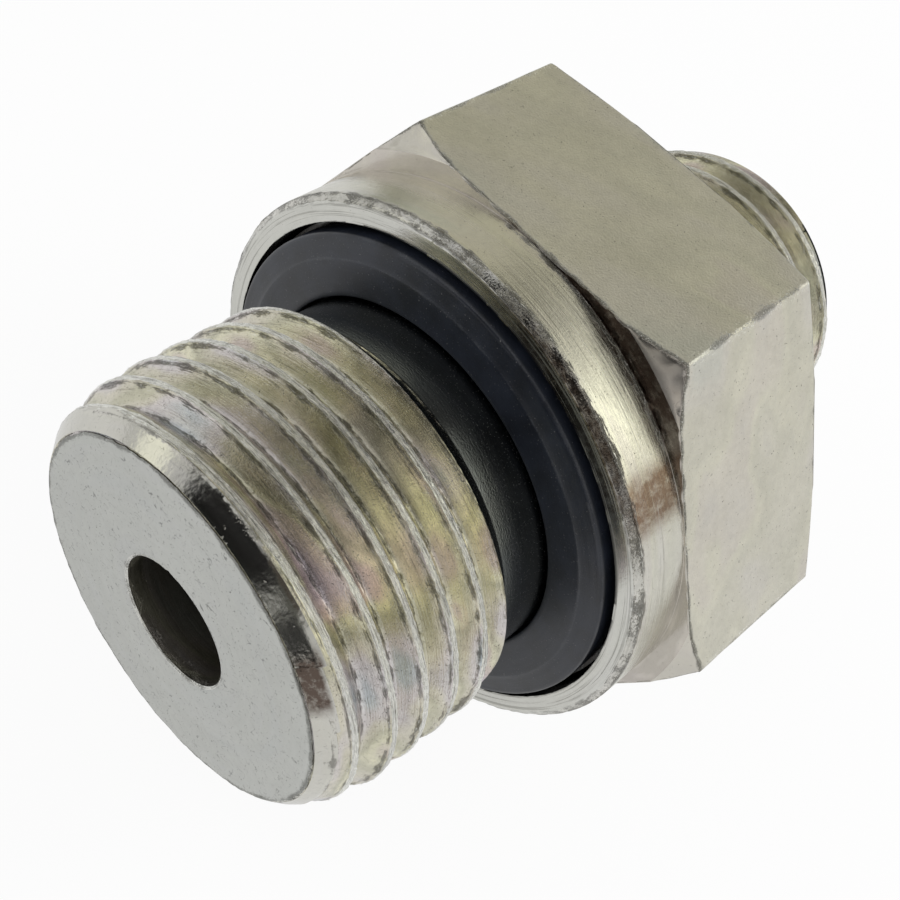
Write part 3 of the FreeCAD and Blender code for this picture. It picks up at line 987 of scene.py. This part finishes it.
def sky():
    """A white tent. The camera sees plain white, and the metal mirrors soft bright and dark parts."""
    world = bpy.data.worlds.new("tent")
    bpy.context.scene.world = world
    world.use_nodes = True
    tree = world.node_tree
    tree.nodes.clear()
    sight = node(tree, "ShaderNodeTexCoord")
    tent = (SKY_BASE, SKY_BASE, SKY_BASE, 1)
    for azimuth, elevation, inner, outer, colour in SKY_LOBES:
        part = lobe(tree, sight, azimuth, elevation, inner, outer)
        tent = mix(tree, part, tent, (*colour, 1))
    mirrored = node(tree, "ShaderNodeBackground", Strength=1.0, Color=tent)
    lit = node(tree, "ShaderNodeBackground", Strength=SKY_DIFFUSE, Color=WHITE)
    plain = node(tree, "ShaderNodeBackground", Strength=1.0, Color=WHITE)
    path = node(tree, "ShaderNodeLightPath")
    unseen = mix_shaders(tree, (path, "Is Glossy Ray"), lit, mirrored)
    seen = mix_shaders(tree, (path, "Is Camera Ray"), unseen, plain)
    node(tree, "ShaderNodeOutputWorld", Surface=(seen, 0))


def floor():
    """A pale floor under the part, which keeps a soft shadow and reads as white to the camera.

    The metal sees it a little lit from below, as on a light table, so its own shadow stays faint there.
    """
    half = FLOOR_HALF * MM
    mesh = bpy.data.meshes.new("floor")
    corners = [(-half, -half), (half, -half), (half, half), (-half, half)]
    mesh.from_pydata([(x, y, FLOOR * MM) for x, y in corners], [], [(0, 1, 2, 3)])
    slab = bpy.data.objects.new("floor", mesh)
    bpy.context.scene.collection.objects.link(slab)
    material = bpy.data.materials.new("pale_floor")
    material.use_nodes = True
    tree = material.node_tree
    tree.nodes.clear()
    path = node(tree, "ShaderNodeLightPath")
    matt = node(tree, "ShaderNodeBsdfDiffuse", Color=(FLOOR_GREY, FLOOR_GREY, FLOOR_GREY, 1))
    strength = scaled(tree, (path, "Is Glossy Ray"), -MIRRORED_DIMMING, 1.0)
    glow = node(tree, "ShaderNodeEmission", Color=WHITE, Strength=strength)
    mirrored = product(tree, (path, "Is Glossy Ray"), FLOOR_GLOW)
    share = scaled(tree, (path, "Is Camera Ray"), FLOOR_WHITE, mirrored)
    shown = mix_shaders(tree, share, matt, glow)
    node(tree, "ShaderNodeOutputMaterial", Surface=(shown, 0))
    mesh.materials.append(material)


# The drawn flats and their corners, which differ in their burr and its painted glints alone
FLAT_LOOK = {
    "grey": (0.643, 0.630, 0.562), "roughness": 0.40, "tint": 0.17, "stripes": 0.18, "patch": 6.0,
    "marks": 2.5, "mark_length": 0.6, "mark_depth": 0.001, "line_shade": 0.06, "speck": 0.5,
    "grain": 0.020, "dash": 0.35, "mottle": 0.30, "burr_depth": 0.10,
}


def dress():
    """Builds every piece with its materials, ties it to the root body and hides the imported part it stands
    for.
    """
    groups = {
        "turning_marks": turning_marks_group(),
        "specks": specks_group(),
        "burr": burr_group(),
        "dashes": dashes_group(),
        "plating": plating_group(),
        "stain": painted_shade_group(),
    }
    finishes = [
        steel("end_face", groups, (0.60, 0.61, 0.585), 0.50, tint=0.03, mark_depth=0.001, line_shade=0.0,
              speck=0.5, speck_size=0.09, grain=0.005, dash=1.15, dash_shade=0.6, mottle=0.14,
              burr_width=0.62),
        steel("bright_edge", groups, (0.70, 0.70, 0.66), 0.25, tint=0.02, burr_width=0.9),
        # The bore's wall is a dark grey: painted shade inside the passage
        steel("bore_wall_painted_shade", groups, (0.30, 0.29, 0.25), 0.35, tint=0.2, marks=10.0, mark_depth=0.008),
        steel("lead_cone", groups, (0.64, 0.63, 0.58), 0.13, tint=0.08, marks=4.0, mark_depth=0.004,
              line_shade=0.1, speck=0.1, speck_size=0.24, grain=0.009, dash=1.1, burr_width=0.62,
              painted_shade_tone=(0.20, 0.155, 0.14)),
        # The crests are a near white grey: a painted highlight
        steel("thread_crest_painted_highlight", groups, (0.94, 0.94, 0.89), 0.24, tint=0.06, marks=20.0, mark_length=2.0,
              mark_depth=0.100, line_share=0.46, line_shade=0.6, speck=0.4, speck_size=0.06, grain=0.020,
              mottle=0.5, burr_width=0.70, burr_depth=0.05, burr_and_crease_shade=0.5, streak=1.0, painted_glint_share=1.2),
        steel("thread_flank", groups, (0.66, 0.65, 0.60), 0.17, tint=0.75, stripes=0.5, marks=13.0,
              mark_depth=0.016, line_shade=0.55, speck=0.8, speck_size=0.06, grain=0.010,
              mottle=0.5, burr_width=0.62, burr_depth=0.06, burr_and_crease_shade=0.72, streak=1.0, painted_glint_share=0.9),
        # The neck and the recess are a dark grey: painted shade, as they lie in shadow and mirror the black
        # ring
        steel("neck_steel_painted_shade", groups, (0.15, 0.165, 0.17), 0.18, tint=0.04, marks=9.0, mark_depth=0.004,
              speck=0.7, speck_size=0.07, grain=0.006),
        steel("collar_face", groups, (0.66, 0.66, 0.62), 0.12, tint=0.05, marks=7.5, mark_length=12.0,
              line_share=0.48, line_shade=0.40, line_rough=0.30, burr_width=0.70, burr_depth=0.005,
              streak=1.0),
        steel("collar_edge", groups, (0.64, 0.63, 0.585), 0.20, tint=0.06, marks=8.0, mark_length=7.0,
              line_share=0.44, speck=0.6, speck_size=0.08, grain=0.012, mottle=0.6,
              burr_width=0.66, burr_depth=0.05, burr_and_crease_shade=0.7, streak=0.6, painted_glint_share=0.6,
              painted_shade_tone=(0.25, 0.205, 0.18)),
        steel("turned_band", groups, (0.65, 0.64, 0.57), 0.24, tint=0.14, patch=7.0, marks=9.0,
              mark_length=8.0, mark_depth=0.016, line_shade=0.35, speck=0.5, speck_size=0.08, grain=0.006,
              mottle=0.25, burr_width=0.66, burr_depth=0.06, burr_and_crease_shade=0.75, streak=1.0, painted_glint_share=0.9,
              painted_shade_tone=(0.38, 0.28, 0.23)),
        steel("hexagon_front", groups, (0.66, 0.62, 0.57), 0.20, marks=6.0, mark_length=14.0,
              mark_depth=0.016, line_share=0.45, line_shade=0.25, painted_shade_tone=(0.24, 0.19, 0.175)),
        steel("corner_cone", groups, (0.635, 0.61, 0.56), 0.28, tint=0.12, marks=8.0, mark_length=10.0,
              mark_depth=0.016, line_share=0.44, line_shade=0.5, burr_width=0.66, burr_and_crease_shade=0.75,
              painted_shade_tone=(0.42, 0.30, 0.25)),
        steel("drawn_flat", groups, burr_and_crease_shade=0.62, painted_glint_share=1.3, **FLAT_LOOK),
        steel("turned_face", groups, (0.65, 0.64, 0.585), 0.27, tint=0.12, patch=7.0, marks=7.0,
              mark_length=10.0, mark_depth=0.020, line_share=0.42, line_shade=0.5, burr_width=0.72,
              burr_and_crease_shade=0.7),
        steel("hexagon_corner", groups, burr_width=0.80, burr_and_crease_shade=0.30, painted_glint_share=2.4, **FLAT_LOOK),
    ]
    for piece in (port_stud(finishes), collar_and_hexagon(finishes), tube_stud(finishes)):
        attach(piece, "root")
        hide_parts("adapter_body")
    ring = sealing_ring(elastomer(groups))
    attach(ring, "root")
    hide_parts("sealing_ring")


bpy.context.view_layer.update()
dress()
floor()
sky()
lamp("key_lamp", azimuth=-40, elevation=35, distance=160, size=60, power=0.10)
lamp("fill_lamp", azimuth=130, elevation=30, distance=200, size=80, power=0.05)
camera()
bpy.context.scene.view_settings.view_transform = "Standard"
